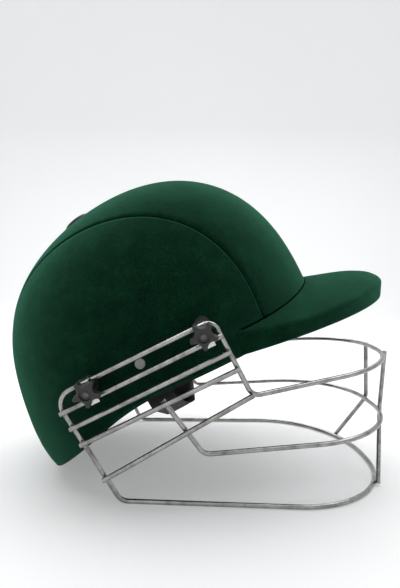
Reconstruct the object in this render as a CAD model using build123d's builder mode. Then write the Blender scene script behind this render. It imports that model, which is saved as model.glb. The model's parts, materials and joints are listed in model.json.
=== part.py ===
from build123d import *
from math import atan, atan2, cos, degrees, hypot, pi, radians, sin, sqrt, tan
import os

os.makedirs("parts", exist_ok=True)

# Cricket helmet: a cloth covered shell with a peak, and a steel grille that slides on the
# shell when its four knobs are loosened. Millimetres, +X towards the peak, +Y to the
# wearer's left, +Z up. The helmet stands on its grille, tilted back, as it is put down.

# Crown: the side profile, as radii about a pole on each side of the head
pole_x = -41.0
pole_z = 88.0
half_width = 97.0
brow_radius = 157.6
top_front_radius = 173.0
top_rear_radius = 155.3
back_radius = 135.1
nape_radius = 118.0
under_rear_radius = 110.2
under_front_radius = 81.4
face_radius = 149.8
section_power_share = 2.3
front_rounding_share = 0.12
last_station_angle = 87.0
station_count = 13
profile_count = 24
search_step_count = 40
tiny_share = 0.000001

# Layers of the crown, from the face of the cloth inwards
cloth_thickness = 1.4
layer_gap = 0.1
shell_thickness = 3.0
liner_gap = 0.3
liner_thickness = 12.0
pad_gap = 0.2
pad_thickness = 9.0

# Rim: a straight line from the brow, and a steeper one down to the nape
rim_front_x = 120.0
rim_front_z = 162.3
rim_bend_x = -54.7
rim_bend_z = 81.6
rim_nape_x = -140.0
rim_nape_z = -8.0
rim_bend_radius = 150.0
binding_thickness = 1.6
binding_height = 9.0
liner_set_back = 10.0
overrun = 60.0

# Cloth: the middle panel is as wide as the peak in front and narrows to the nape
seam_front_x = 60.0
seam_front_half = 77.0
seam_middle_x = -45.0
seam_middle_half = 64.0
seam_rear_x = -165.0
seam_rear_half = 38.0
seam_gap = 0.3

# Peak: an arched sheet with a turned down edge
peak_root_x = 27.0
peak_half_width = 86.5
peak_tip_x = 163.0
peak_tail_x = 20.0
peak_crest_z = 184.0
peak_camber = 21.0
peak_arch_radius = 145.0
peak_edge_front_z = 164.5
peak_edge_rear_z = 117.0
peak_wall = 3.0
peak_edge_wall = 4.0
peak_reach_share = 0.75
station_shares = (-0.08, 0.18, 0.38, 0.58, 0.76, 0.86, 0.94, 1.04)
crest_shares = (0.0, 0.24, 0.48, 0.73, 0.95, 1.0, 0.93, 0.5)
arch_shares = (1.0, 1.0, 0.94, 0.88, 0.72, 0.6, 0.5, 0.42)

# Grille: wires on two leaning side panels and three rings round the face
wire_diameter = 3.8
panel_half_width = 85.6
panel_lean_share = 0.155
bar_angle = 29.3
rear_upright_u = -53.6
front_upright_u = 73.5
bar_1_v = 130.0
bar_2_v = 117.8
bar_3_v = 104.2
bar_4_v = 89.6
bar_5_rear_v = 56.2
bar_5_front_v = 66.4
bar_end = 1.4
rear_bend_radius = 13.0
front_bend_radius = 8.0
joint_v = 60.0
front_joint_v = 78.0
ring_bend_radius = 10.0
lower_front_x = 164.0
lower_front_half = 94.5
lower_ring_radius = 86.0
middle_front_x = 165.0
middle_front_half = 84.5
middle_front_z = 57.0
middle_corner_x = -0.4
middle_corner_z = 42.9
middle_top_x = -33.0
middle_top_z = 86.5
middle_ring_radius = 80.0
upper_front_x = 164.7
upper_front_half = 64.0
upper_front_z = 110.7
upper_corner_v = 64.4
upper_ring_radius = 78.0
upright_top_half = 20.0
upright_middle_half = 15.0
upright_foot_half = 51.0
upright_end = 1.0
upright_bend_radius = 12.0

# Fixings: a screw from inside each side, front and rear, between the two top bars
fixing_v = 125.5
rear_fixing_u = -27.7
front_fixing_u = 63.6
screw_diameter = 4.0
hole_gap = 0.4
thread_gap = 0.05
head_diameter = 8.0
head_height = 2.6
washer_diameter = 14.0
washer_height = 3.4
pocket_gap = 0.6
spacer_diameter = 12.5
seat_gap = 0.6
clip_thickness = 1.2
clip_width = 9.0
clip_wire_gap = 0.35
clip_top_gap = 0.35
clip_upper_tip = -0.4
clip_lower_tip = 2.3
clip_edge_radius = 1.0
knob_gap = 0.1
knob_radius = 10.2
knob_height = 5.6
knob_lobes = 5
scallop_radius = 5.0
scallop_centre_radius = 11.3
lobe_edge_radius = 1.4
knob_edge_radius = 1.0
dish_radius = 4.4
dish_depth = 1.2
screw_tip_in_dish = 0.4
socket_radius = 1.9
socket_sides = 6
socket_depth = 1.6

# Crown button, riveted through the top of the shell
button_angle = 121.0
button_radius = 11.4
button_height = 3.0
button_edge_radius = 1.2
stud_diameter = 4.0
stud_head_radius = 3.4
stud_head_height = 0.8
stud_washer_radius = 7.0
stud_washer_sink = 0.6
stud_washer_height = 1.2
stud_tail = 1.4

# Chin strap: webbing on two rivets, with a slider and a soft pad under the chin
rivet_x = -50.0
rivet_z = 112.0
rivet_head_radius = 3.9
rivet_head_height = 1.3
rivet_edge_radius = 0.5
rivet_diameter = 4.0
rivet_tail_radius = 4.5
rivet_tail_height = 1.4
strap_forward_angle = 30.0
strap_half_width = 89.5
strap_width = 21.0
strap_thickness = 1.8
strap_end = 7.0
strap_drop = 38.0
strap_low_half = 42.0
strap_low_drop = 61.0
strap_bend_radius = 12.0
strap_low_radius = 30.0
strap_joint_gap = 0.3
slider_length = 20.0
slider_rim = 3.0
slider_wall = 1.3
slider_gap = 0.3
slider_place_share = 0.5
slider_window = 4.5
slider_bar = 3.0
chin_pad_length = 62.0
chin_pad_width = 29.0
chin_pad_thickness = 9.0
chin_pad_gap = 0.3
chin_pad_edge_radius = 3.0

# Soft pads inside: places and half sizes of their outlines
ear_gap_x = -47.0
ear_gap_z = 78.0
ear_gap_length = 96.0
ear_gap_height = 94.0
ear_gap_radius = 26.0
crown_pad_x = -42.0
crown_pad_length = 108.0
crown_pad_width = 74.0
crown_pad_radius = 30.0
brow_pad_z = 178.0
brow_pad_width = 76.0
brow_pad_height = 32.0
nape_pad_z = 66.0
nape_pad_width = 96.0
nape_pad_height = 44.0
temple_pad_x = 22.0
temple_pad_z = 160.0
temple_pad_length = 40.0
temple_pad_height = 38.0
pad_corner_radius = 14.0
pad_edge_radius = 3.5
pad_block_start = 35.0


crown_radii = (brow_radius, top_front_radius, top_rear_radius, back_radius,
               nape_radius, under_rear_radius, under_front_radius, face_radius)
shell_depth = cloth_thickness + layer_gap
inner_depth = shell_depth + shell_thickness
liner_depth = inner_depth + liner_gap
pad_depth = liner_depth + liner_thickness + pad_gap
wire_radius = wire_diameter / 2
everything = 4 * half_width


def profile_radius(angle):
    """The crown's radius in side view: a smooth curve through the evenly spaced radii."""
    count = len(crown_radii)
    total = 0
    for index, radius in enumerate(crown_radii):
        step = angle / 2 - pi * (index + 1 / 2) / count
        if abs(sin(step)) > tiny_share:
            total += radius * sin(count * step) * cos(step) / (count * sin(step))
        else:
            total += radius
    return total


def section_power(angle):
    """How square the crown's cross sections are: rounder in front than behind."""
    return section_power_share * (1 - front_rounding_share * cos(angle))


def crown_half_width(x, z, depth):
    """Half the crown's width at a place in side view, at a depth below the cloth's face."""
    angle = atan2(z - pole_z, x - pole_x)
    power = section_power(angle)
    share = hypot(x - pole_x, z - pole_z) / (profile_radius(angle) - depth)
    return (half_width - depth) * max(0, 1 - share ** power) ** (1 / power)


def crown_body(depth):
    """The crown's whole form: side profiles from right to left, at one depth."""
    with BuildPart() as body:
        for station in range(station_count):
            turn = last_station_angle * (2 * station / (station_count - 1) - 1)
            side_share = sin(radians(turn))
            outline = []
            for index in range(profile_count):
                angle = 2 * pi * index / profile_count
                power = section_power(angle)
                share = (1 - abs(side_share) ** power) ** (1 / power)
                reach = (profile_radius(angle) - depth) * share
                outline.append((pole_x + reach * cos(angle), pole_z + reach * sin(angle)))
            with BuildSketch(Plane.XZ.offset(-side_share * (half_width - depth))):
                with BuildLine():
                    Spline(outline, periodic=True)
                make_face()
        loft()
    return body.part


def under_rim(rise):
    """All the space under the rim line, with the line raised by this much."""
    floor_z = rim_nape_z - everything
    with BuildPart() as space:
        with BuildSketch(Plane.XZ):
            with BuildLine():
                rim = FilletPolyline(
                    (rim_front_x, rim_front_z + rise),
                    (rim_bend_x, rim_bend_z + rise),
                    (rim_nape_x, rim_nape_z + rise),
                    radius=[rim_bend_radius],
                )
                Polyline(
                    rim @ 1,
                    (rim_nape_x - overrun, rim_nape_z + rise),
                    (rim_nape_x - overrun, floor_z),
                    (rim_front_x + overrun, floor_z),
                    (rim_front_x + overrun, rim_front_z + rise),
                    rim @ 0,
                )
            make_face()
        extrude(amount=half_width + overrun, both=True)
    return space.part


def crown_above(depth, rise):
    """The crown's form at one depth, cut off level with the raised rim line."""
    with BuildPart() as form:
        add(crown_body(depth))
        add(under_rim(rise), mode=Mode.SUBTRACT)
    return form.part


def layer(outer_depth, inner_layer_depth, rise):
    """A layer of the crown between two depths, above the raised rim line."""
    with BuildPart() as piece:
        add(crown_above(outer_depth, rise))
        add(crown_body(inner_layer_depth), mode=Mode.SUBTRACT)
    return piece.part


# The right side's leaning panel: u along the bars, v up across them, w outwards
lean = atan(panel_lean_share)
bar_turn = radians(bar_angle)
panel = Plane(
    origin=(0, -panel_half_width, 0),
    x_dir=(cos(bar_turn), -sin(bar_turn) * sin(lean), sin(bar_turn) * cos(lean)),
    z_dir=(0, -cos(lean), -sin(lean)),
)


def spot(u, v, w=0):
    """The place in the part's own axes of a point on the right panel."""
    return panel.from_local_coords((u, v, w))


def other_side(point):
    """The mirror image of a point, on the wearer's left."""
    return Vector(point.X, -point.Y, point.Z)


def axis_reach(u, v, depth):
    """Where the crown's surface at this depth crosses a fixing's axis, as a w."""
    inside, outside = -half_width / 2, half_width / 2
    for _ in range(search_step_count):
        middle = (inside + outside) / 2
        point = spot(u, v, middle)
        if abs(point.Y) < crown_half_width(point.X, point.Z, depth):
            inside = middle
        else:
            outside = middle
    return inside


def save_pair(right, name):
    """Writes a right-hand piece and its mirror image for the left."""
    right.label = name + "_right"
    export_step(right, "parts/" + name + "_right.step")
    with BuildPart() as left:
        add(right)
        mirror(about=Plane.XZ, mode=Mode.REPLACE)
    left.part.label = name + "_left"
    export_step(left.part, "parts/" + name + "_left.step")


def fixing_holes(radius):
    """Round bars on the four fixings' axes, for cutting holes."""
    with BuildPart() as bars:
        for u in (rear_fixing_u, front_fixing_u):
            with BuildSketch(panel.offset(-half_width / 2)):
                with Locations((u, fixing_v)):
                    Circle(radius)
            extrude(amount=half_width)
        mirror(about=Plane.XZ)
    return bars.part


def rivet_holes(radius):
    """Round bars on the strap rivets' axes, for cutting holes."""
    with BuildPart() as bars:
        with BuildSketch(Plane.XZ):
            with Locations((rivet_x, rivet_z)):
                Circle(radius)
        extrude(amount=half_width + overrun, both=True)
    return bars.part


# The crown button's seat: its place on the middle line and the way it faces
seat_angle = radians(button_angle)
seat_radius = profile_radius(seat_angle)
turn_step = 1 / half_width
seat_slope = (profile_radius(seat_angle + turn_step) - seat_radius) / turn_step
seat_normal = seat_angle - atan2(seat_slope, seat_radius)
button_plane = Plane(
    origin=(pole_x + seat_radius * cos(seat_angle), 0, pole_z + seat_radius * sin(seat_angle)),
    x_dir=(0, 1, 0),
    z_dir=(cos(seat_normal), 0, sin(seat_normal)),
)


def button_hole(radius):
    """A round bar on the button's axis, for cutting a hole."""
    with BuildPart() as bar:
        with BuildSketch(button_plane):
            Circle(radius)
        extrude(amount=pad_depth, both=True)
    return bar.part


# Cloth: one layer over the whole crown, cut into three panels along the seams
with BuildPart() as cloth:
    add(layer(0, cloth_thickness, 0))
    add(fixing_holes(screw_diameter / 2 + hole_gap), mode=Mode.SUBTRACT)
    add(rivet_holes(rivet_diameter / 2 + hole_gap), mode=Mode.SUBTRACT)
    add(button_hole(stud_diameter / 2 + hole_gap), mode=Mode.SUBTRACT)


def seam_wedge(margin):
    """The upright space between the two seams, wider or narrower by a margin."""
    with BuildPart() as wedge:
        with BuildSketch(Plane.XY):
            with BuildLine():
                left = ThreePointArc(
                    (seam_front_x, seam_front_half + margin),
                    (seam_middle_x, seam_middle_half + margin),
                    (seam_rear_x, seam_rear_half + margin),
                )
                right = ThreePointArc(
                    (seam_front_x, -seam_front_half - margin),
                    (seam_middle_x, -seam_middle_half - margin),
                    (seam_rear_x, -seam_rear_half - margin),
                )
                Polyline(left @ 0, (seam_front_x + everything, seam_front_half + margin),
                         (seam_front_x + everything, -seam_front_half - margin), right @ 0)
                Polyline(left @ 1, (seam_rear_x - everything, seam_rear_half + margin),
                         (seam_rear_x - everything, -seam_rear_half - margin), right @ 1)
            make_face()
        extrude(amount=everything)
    return wedge.part


with BuildPart() as crown_panel:
    add(cloth.part)
    add(seam_wedge(-seam_gap / 2), mode=Mode.INTERSECT)
crown_panel.part.label = "crown_panel"
export_step(crown_panel.part, "parts/crown_panel.step")

with BuildPart() as side_panels:
    add(cloth.part)
    add(seam_wedge(seam_gap / 2), mode=Mode.SUBTRACT)
with BuildPart() as side_panel:
    add(side_panels.part.solids().sort_by(Axis.Y)[0])
save_pair(side_panel.part, "side_panel")

# Shell: the moulded crown that carries everything
with BuildPart() as shell:
    add(layer(shell_depth, inner_depth, 0))
    add(fixing_holes(screw_diameter / 2 + hole_gap), mode=Mode.SUBTRACT)
    add(rivet_holes(rivet_diameter / 2 + hole_gap), mode=Mode.SUBTRACT)
    add(button_hole(stud_diameter / 2 + hole_gap), mode=Mode.SUBTRACT)
shell.part.label = "shell"
export_step(shell.part, "parts/shell.step")

# Rim binding: a strip under the edges of the cloth and the shell, turned up inside
binding_depth = inner_depth + layer_gap
with BuildPart() as rim_binding:
    add(layer(layer_gap, binding_depth + binding_thickness, -binding_thickness))
    add(layer(-layer_gap, binding_depth, -layer_gap), mode=Mode.SUBTRACT)
    add(crown_above(0, binding_height), mode=Mode.SUBTRACT)
rim_binding.part.label = "rim_binding"
export_step(rim_binding.part, "parts/rim_binding.step")

# Liner: the foam inside the shell, cut away round the ears and over the fixings
with BuildPart() as ear_gap:
    with BuildSketch(Plane.XZ):
        with Locations((ear_gap_x, ear_gap_z)):
            RectangleRounded(ear_gap_length, ear_gap_height, ear_gap_radius)
    extrude(amount=half_width, both=True)
pocket_radius = washer_diameter / 2 + pocket_gap
with BuildPart() as foam_liner:
    add(layer(liner_depth, liner_depth + liner_thickness, liner_set_back))
    add(ear_gap.part, mode=Mode.SUBTRACT)
    add(fixing_holes(pocket_radius), mode=Mode.SUBTRACT)
    add(rivet_holes(pocket_radius), mode=Mode.SUBTRACT)
    add(button_hole(stud_washer_radius + pocket_gap), mode=Mode.SUBTRACT)
foam_liner.part.label = "foam_liner"
export_step(foam_liner.part, "parts/foam_liner.step")


# Pads: cushions on the liner, each the shape of the crown between two depths
with BuildPart() as pad_layer:
    add(crown_body(pad_depth))
    add(crown_body(pad_depth + pad_thickness), mode=Mode.SUBTRACT)

with BuildPart() as crown_block:
    with BuildSketch(Plane.XY.offset(pole_z)):
        with Locations((crown_pad_x, 0)):
            RectangleRounded(crown_pad_length, crown_pad_width, crown_pad_radius)
    extrude(amount=everything)
with BuildPart() as crown_pad:
    add(crown_block.part)
    add(pad_layer.part, mode=Mode.INTERSECT)
crown_pad.part.label = "crown_pad"
export_step(crown_pad.part, "parts/crown_pad.step")

with BuildPart() as brow_block:
    with BuildSketch(Plane.YZ.offset(pole_x + pad_block_start)):
        with Locations((0, brow_pad_z)):
            RectangleRounded(brow_pad_width, brow_pad_height, pad_corner_radius)
    extrude(amount=everything)
with BuildPart() as brow_pad:
    add(brow_block.part)
    add(pad_layer.part, mode=Mode.INTERSECT)
brow_pad.part.label = "brow_pad"
export_step(brow_pad.part, "parts/brow_pad.step")

with BuildPart() as nape_block:
    with BuildSketch(Plane.YZ.offset(pole_x - pad_block_start)):
        with Locations((0, nape_pad_z)):
            RectangleRounded(nape_pad_width, nape_pad_height, pad_corner_radius)
    extrude(amount=-everything)
with BuildPart() as nape_pad:
    add(nape_block.part)
    add(pad_layer.part, mode=Mode.INTERSECT)
nape_pad.part.label = "nape_pad"
export_step(nape_pad.part, "parts/nape_pad.step")

with BuildPart() as temple_block:
    with BuildSketch(Plane.XZ.offset(pad_block_start)):
        with Locations((temple_pad_x, temple_pad_z)):
            RectangleRounded(temple_pad_length, temple_pad_height, pad_corner_radius)
    extrude(amount=everything)
with BuildPart() as temple_pad:
    add(temple_block.part)
    add(pad_layer.part, mode=Mode.INTERSECT)
save_pair(temple_pad.part, "temple_pad")


# Peak: an arched sheet with a turned-down edge, under two layers of cloth
peak_span = peak_tip_x - peak_root_x


def under_arch(depth):
    """All the space under the peak's arched top, at a depth below its face."""
    with BuildPart() as space:
        shares = zip(station_shares, crest_shares, arch_shares)
        for station_share, crest_share, arch_share in shares:
            crest = peak_crest_z - peak_camber * (1 - crest_share) - depth
            radius = peak_arch_radius * arch_share - depth
            reach = radius * peak_reach_share
            drop = radius - sqrt(radius ** 2 - reach ** 2)
            with BuildSketch(Plane.YZ.offset(peak_root_x + peak_span * station_share)):
                with BuildLine():
                    arch = ThreePointArc((-reach, crest - drop), (0, crest), (reach, crest - drop))
                    Polyline(arch @ 1, (reach, 0), (-reach, 0), arch @ 0)
                make_face()
        loft()
    return space.part


def peak_plan(inset):
    """The peak's outline seen from above, upright, drawn in by a distance."""
    side = peak_half_width - inset
    with BuildPart() as block:
        with BuildSketch(Plane.XY):
            with BuildLine():
                tip = EllipticalCenterArc((peak_root_x, 0), peak_span - inset, side, -90,
                                          arc_size=180)
                Polyline(tip @ 1, (peak_tail_x, side), (peak_tail_x, -side), tip @ 0)
            make_face()
        extrude(amount=everything)
    return block.part


def peak_form(depth):
    """The peak's whole form at a depth below its outer face."""
    with BuildPart() as form:
        add(under_arch(depth))
        add(peak_plan(depth), mode=Mode.INTERSECT)
    return form.part


with BuildPart() as below_peak:
    with BuildSketch(Plane.XZ):
        Polygon(
            (peak_tail_x, peak_edge_rear_z),
            (peak_tip_x, peak_edge_front_z),
            (peak_tip_x + overrun, peak_edge_front_z),
            (peak_tip_x + overrun, -overrun),
            (peak_tail_x - overrun, -overrun),
            (peak_tail_x - overrun, peak_edge_rear_z),
            align=None,
        )
    extrude(amount=everything, both=True)


def peak_layer(outer_depth, thickness, edge_thickness):
    """One layer of the peak: its arched sheet and its turned-down edge."""
    with BuildPart() as inside:
        add(under_arch(outer_depth + thickness))
        add(peak_plan(outer_depth + edge_thickness), mode=Mode.INTERSECT)
    with BuildPart() as sheet:
        add(peak_form(outer_depth))
        add(inside.part, mode=Mode.SUBTRACT)
        add(below_peak.part, mode=Mode.SUBTRACT)
        add(crown_body(0), mode=Mode.SUBTRACT)
    return sheet.part.solids().sort_by(SortBy.VOLUME)[-1]


peak_upper_cloth = peak_layer(0, cloth_thickness, cloth_thickness)
peak_upper_cloth.label = "peak_upper_cloth"
export_step(peak_upper_cloth, "parts/peak_upper_cloth.step")

core_depth = cloth_thickness + layer_gap
peak_core = peak_layer(core_depth, peak_wall, peak_edge_wall)
peak_core.label = "peak_core"
export_step(peak_core, "parts/peak_core.step")

under_cloth_depth = core_depth + peak_wall + layer_gap
under_cloth_inset = peak_edge_wall - peak_wall
with BuildPart() as under_outer:
    add(under_arch(under_cloth_depth))
    add(peak_plan(under_cloth_depth + under_cloth_inset), mode=Mode.INTERSECT)
with BuildPart() as under_inner:
    add(under_arch(under_cloth_depth + cloth_thickness))
    add(peak_plan(under_cloth_depth + under_cloth_inset + cloth_thickness), mode=Mode.INTERSECT)
with BuildPart() as under_cloth_sheet:
    add(under_outer.part)
    add(under_inner.part, mode=Mode.SUBTRACT)
    add(below_peak.part, mode=Mode.SUBTRACT)
    add(crown_body(0), mode=Mode.SUBTRACT)
peak_under_cloth = under_cloth_sheet.part.solids().sort_by(SortBy.VOLUME)[-1]
peak_under_cloth.label = "peak_under_cloth"
export_step(peak_under_cloth, "parts/peak_under_cloth.step")

# Crown button: a cloth-covered disc on a stud, with a washer inside the shell
with BuildPart() as crown_button:
    with BuildSketch(button_plane):
        Circle(button_radius)
    extrude(amount=button_height)
    fillet(crown_button.faces().sort_by(Axis.Z)[-1].edges(), button_edge_radius)
    with BuildSketch(button_plane):
        Circle(stud_diameter / 2 + thread_gap)
    extrude(amount=button_height, mode=Mode.SUBTRACT)
crown_button.part.label = "crown_button"
export_step(crown_button.part, "parts/crown_button.step")

washer_top = button_plane.offset(-inner_depth - stud_washer_sink)
with BuildPart() as crown_button_stud:
    with BuildSketch(button_plane.offset(button_height)):
        Circle(stud_head_radius)
    extrude(amount=stud_head_height)
    with BuildSketch(button_plane.offset(button_height)):
        Circle(stud_diameter / 2)
    extrude(amount=-button_height - inner_depth - stud_washer_sink - stud_washer_height
            - stud_tail)
crown_button_stud.part.label = "crown_button_stud"
export_step(crown_button_stud.part, "parts/crown_button_stud.step")

with BuildPart() as crown_button_washer:
    with BuildSketch(washer_top):
        Circle(stud_washer_radius)
        Circle(stud_diameter / 2 + thread_gap, mode=Mode.SUBTRACT)
    extrude(amount=-stud_washer_height)
crown_button_washer.part.label = "crown_button_washer"
export_step(crown_button_washer.part, "parts/crown_button_washer.step")


# Chin strap: it swings on the two rivets; sizes in its own plane are y and drop
strap_angle = radians(strap_forward_angle)
strap_plane = Plane(
    origin=(rivet_x, 0, rivet_z),
    x_dir=(0, 1, 0),
    z_dir=(cos(strap_angle), 0, sin(strap_angle)),
)


def strap_band(thickness, width, outward):
    """A band of webbing along the strap's whole path, moved outward by a distance."""
    side = strap_half_width + outward
    low = strap_drop + outward
    lowest = strap_low_drop + outward
    with BuildPart() as band:
        with BuildSketch(strap_plane):
            with BuildLine():
                path = FilletPolyline(
                    (-side, strap_end),
                    (-side, -low),
                    (-strap_low_half, -lowest),
                    (strap_low_half, -lowest),
                    (side, -low),
                    (side, strap_end),
                    radius=[strap_bend_radius, strap_low_radius, strap_low_radius,
                            strap_bend_radius],
                )
            trace(line_width=thickness)
        extrude(amount=width / 2, both=True)
    return band.part


webbing = strap_band(strap_thickness, strap_width, -strap_thickness / 2)
slider_mid = (
    (strap_half_width + strap_low_half) / 2,
    -(strap_drop + strap_low_drop) / 2,
)
slider_turn = degrees(atan2(strap_low_drop - strap_drop, strap_half_width - strap_low_half))
with BuildPart() as slider_zone:
    with BuildSketch(strap_plane):
        with Locations(Location((slider_mid[0], slider_mid[1]), (0, 0, slider_turn))):
            Rectangle(slider_length, slider_length)
    extrude(amount=strap_width, both=True)
with BuildPart() as strap_cut:
    with BuildSketch(strap_plane):
        with Locations(Location((slider_mid[0], slider_mid[1]), (0, 0, slider_turn))):
            Rectangle(strap_joint_gap, slider_length)
    extrude(amount=strap_width, both=True)

with BuildPart() as strap_with_holes:
    add(webbing)
    add(rivet_holes(rivet_diameter / 2 + thread_gap), mode=Mode.SUBTRACT)
    add(strap_cut.part, mode=Mode.SUBTRACT)
strap_pieces = strap_with_holes.part.solids().sort_by(Axis.Y)
strap_right = strap_pieces[0]
strap_right.label = "strap_right"
export_step(strap_right, "parts/strap_right.step")
strap_left = strap_pieces[1]
strap_left.label = "strap_left"
export_step(strap_left, "parts/strap_left.step")

# Slider: a flat sleeve over the joint of the two straps, with two windows
slider_lean = radians(slider_turn)
slider_along = strap_plane.x_dir * cos(slider_lean) + strap_plane.y_dir * sin(slider_lean)
slider_out = strap_plane.y_dir * cos(slider_lean) - strap_plane.x_dir * sin(slider_lean)
slider_plane = Plane(
    origin=strap_plane.from_local_coords((slider_mid[0], slider_mid[1], 0)),
    x_dir=slider_along,
    z_dir=slider_out,
)
with BuildPart() as strap_slider:
    add(strap_band(
        strap_thickness + 2 * slider_gap + 2 * slider_wall,
        strap_width + 2 * slider_gap + 2 * slider_rim,
        -strap_thickness / 2,
    ))
    add(slider_zone.part, mode=Mode.INTERSECT)
    add(strap_band(
        strap_thickness + 2 * slider_gap,
        strap_width + 2 * slider_gap,
        -strap_thickness / 2,
    ), mode=Mode.SUBTRACT)
    with BuildSketch(slider_plane):
        with GridLocations(slider_window + slider_bar, 0, 2, 1):
            Rectangle(slider_window, strap_width)
    extrude(amount=-slider_length, mode=Mode.SUBTRACT)
strap_slider.part.label = "strap_slider"
export_step(strap_slider.part, "parts/strap_slider.step")

# Chin pad: a soft sleeve round the lowest stretch of the strap
with BuildPart() as chin_pad:
    with BuildSketch(strap_plane):
        with Locations((0, -strap_low_drop + strap_thickness / 2)):
            RectangleRounded(chin_pad_length, chin_pad_thickness, chin_pad_edge_radius)
    extrude(amount=chin_pad_width / 2, both=True)
    add(strap_band(
        strap_thickness + 2 * chin_pad_gap,
        strap_width + 2 * chin_pad_gap,
        -strap_thickness / 2,
    ), mode=Mode.SUBTRACT)
chin_pad.part.label = "chin_pad"
export_step(chin_pad.part, "parts/chin_pad.step")

# Strap rivets and the collars that hold the strap off the shell
rivet_seat = crown_half_width(rivet_x, rivet_z, 0)
strap_inside = strap_half_width - strap_thickness
rivet_bottom = Plane.XZ.offset(strap_inside - thread_gap)
with BuildPart() as rivet:
    with BuildSketch(Plane.XZ.offset(rivet_seat - rivet_head_height)):
        with Locations((rivet_x, rivet_z)):
            Circle(rivet_head_radius)
    extrude(amount=2 * rivet_head_height)
    fillet(rivet.faces().sort_by(Axis.Y)[0].edges(), rivet_edge_radius)
    add(crown_body(0), mode=Mode.SUBTRACT)
    with BuildSketch(rivet_bottom):
        with Locations((rivet_x, rivet_z)):
            Circle(rivet_diameter / 2)
    extrude(amount=rivet_seat - strap_inside + rivet_head_height / 2)
    with BuildSketch(rivet_bottom):
        with Locations((rivet_x, rivet_z)):
            Circle(rivet_tail_radius)
    extrude(amount=-rivet_tail_height)
with BuildPart() as strap_rivets:
    add(rivet.part)
    mirror(about=Plane.XZ)
strap_rivets.part.label = "strap_rivets"
export_step(strap_rivets.part, "parts/strap_rivets.step")

with BuildPart() as strap_collars:
    with BuildSketch(Plane.XZ.offset(strap_half_width + thread_gap)):
        with Locations((rivet_x, rivet_z)):
            Circle(rivet_tail_radius)
            Circle(rivet_diameter / 2 + thread_gap, mode=Mode.SUBTRACT)
    extrude(amount=half_width - strap_half_width)
    add(crown_body(inner_depth), mode=Mode.INTERSECT)
    mirror(about=Plane.XZ)
strap_collars.part.label = "strap_collars"
export_step(strap_collars.part, "parts/strap_collars.step")


# Grille: the wires of the right side lie in its leaning panel
def wire(points, radii):
    """A round wire along points, with a bend radius at each point between the ends."""
    with BuildPart() as rod:
        with BuildLine() as path:
            FilletPolyline(*points, radius=radii)
        with BuildSketch(Plane(origin=path.line @ 0, z_dir=path.line % 0)):
            Circle(wire_radius)
        sweep()
    return rod.part


def straight_wire(start, end):
    """A straight round wire between two places."""
    with BuildPart() as rod:
        with BuildSketch(Plane(origin=start, z_dir=end - start)):
            Circle(wire_radius)
        extrude(amount=(end - start).length)
    return rod.part


side_frame = wire(
    [
        spot(rear_upright_u, joint_v),
        spot(rear_upright_u, bar_1_v),
        spot(front_upright_u, bar_1_v),
        spot(front_upright_u, front_joint_v),
    ],
    [rear_bend_radius, front_bend_radius],
)
save_pair(side_frame, "side_frame")

side_bars = {
    "side_bar_2": (bar_2_v, bar_2_v),
    "side_bar_3": (bar_3_v, bar_3_v),
    "side_bar_4": (bar_4_v, bar_4_v),
    "side_bar_5": (bar_5_rear_v, bar_5_front_v),
}
for bar_name, (rear_v, front_v) in side_bars.items():
    bar = straight_wire(
        spot(rear_upright_u - bar_end, rear_v, wire_diameter),
        spot(front_upright_u + bar_end, front_v, wire_diameter),
    )
    save_pair(bar, bar_name)


def panel_y(z):
    """How far out the side panel stands at a height."""
    return panel_half_width + panel_lean_share * z


def panel_spot(x, z):
    """A place on the right panel from its place in side view."""
    return Vector(x, -panel_y(z), z)


def ring_points(right):
    """The points of a ring round the face: the right half, then its mirror image."""
    return right + [other_side(point) for point in reversed(right)]


lower_z = wire_radius
upright_foot_v = lower_z / cos(lean) / cos(bar_turn) - rear_upright_u * tan(bar_turn)
lower_points = ring_points([
    spot(rear_upright_u, joint_v),
    spot(rear_upright_u, upright_foot_v),
    Vector(lower_front_x, -lower_front_half, lower_z),
])
lower_bends = [ring_bend_radius, lower_ring_radius]
lower_ring = wire(lower_points, lower_bends + lower_bends[::-1])
lower_ring.label = "lower_ring"
export_step(lower_ring, "parts/lower_ring.step")

middle_points = ring_points([
    panel_spot(middle_top_x, middle_top_z),
    panel_spot(middle_corner_x, middle_corner_z),
    Vector(middle_front_x, -middle_front_half, middle_front_z),
])
middle_bends = [ring_bend_radius, middle_ring_radius]
middle_ring = wire(middle_points, middle_bends + middle_bends[::-1])
middle_ring.label = "middle_ring"
export_step(middle_ring, "parts/middle_ring.step")

upper_points = ring_points([
    spot(front_upright_u, front_joint_v),
    spot(front_upright_u, upper_corner_v),
    Vector(upper_front_x, -upper_front_half, upper_front_z),
])
upper_bends = [ring_bend_radius, upper_ring_radius]
upper_ring = wire(upper_points, upper_bends + upper_bends[::-1])
upper_ring.label = "upper_ring"
export_step(upper_ring, "parts/upper_ring.step")


def outside_ring(points, bends, half):
    """A place on a wire just outside a ring's front, this far to the right of the middle."""
    with BuildLine(mode=Mode.PRIVATE) as path:
        FilletPolyline(*points, radius=bends + bends[::-1])
    low, high = 1 / 4, 1 / 2
    for _ in range(search_step_count):
        share = (low + high) / 2
        if (path.line @ share).Y < -half:
            low = share
        else:
            high = share
    along = path.line % low
    outward = Vector(along.Y, -along.X, 0).normalized()
    return (path.line @ low) + outward * wire_diameter


upright_top = outside_ring(upper_points, upper_bends, upright_top_half)
upright_middle = outside_ring(middle_points, middle_bends, upright_middle_half)
upright_foot = outside_ring(lower_points, lower_bends, upright_foot_half)
top_end = upright_top + (upright_top - upright_middle).normalized() * upright_end
front_upright = wire([top_end, upright_middle, upright_foot], [upright_bend_radius])
save_pair(front_upright, "front_upright")


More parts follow.
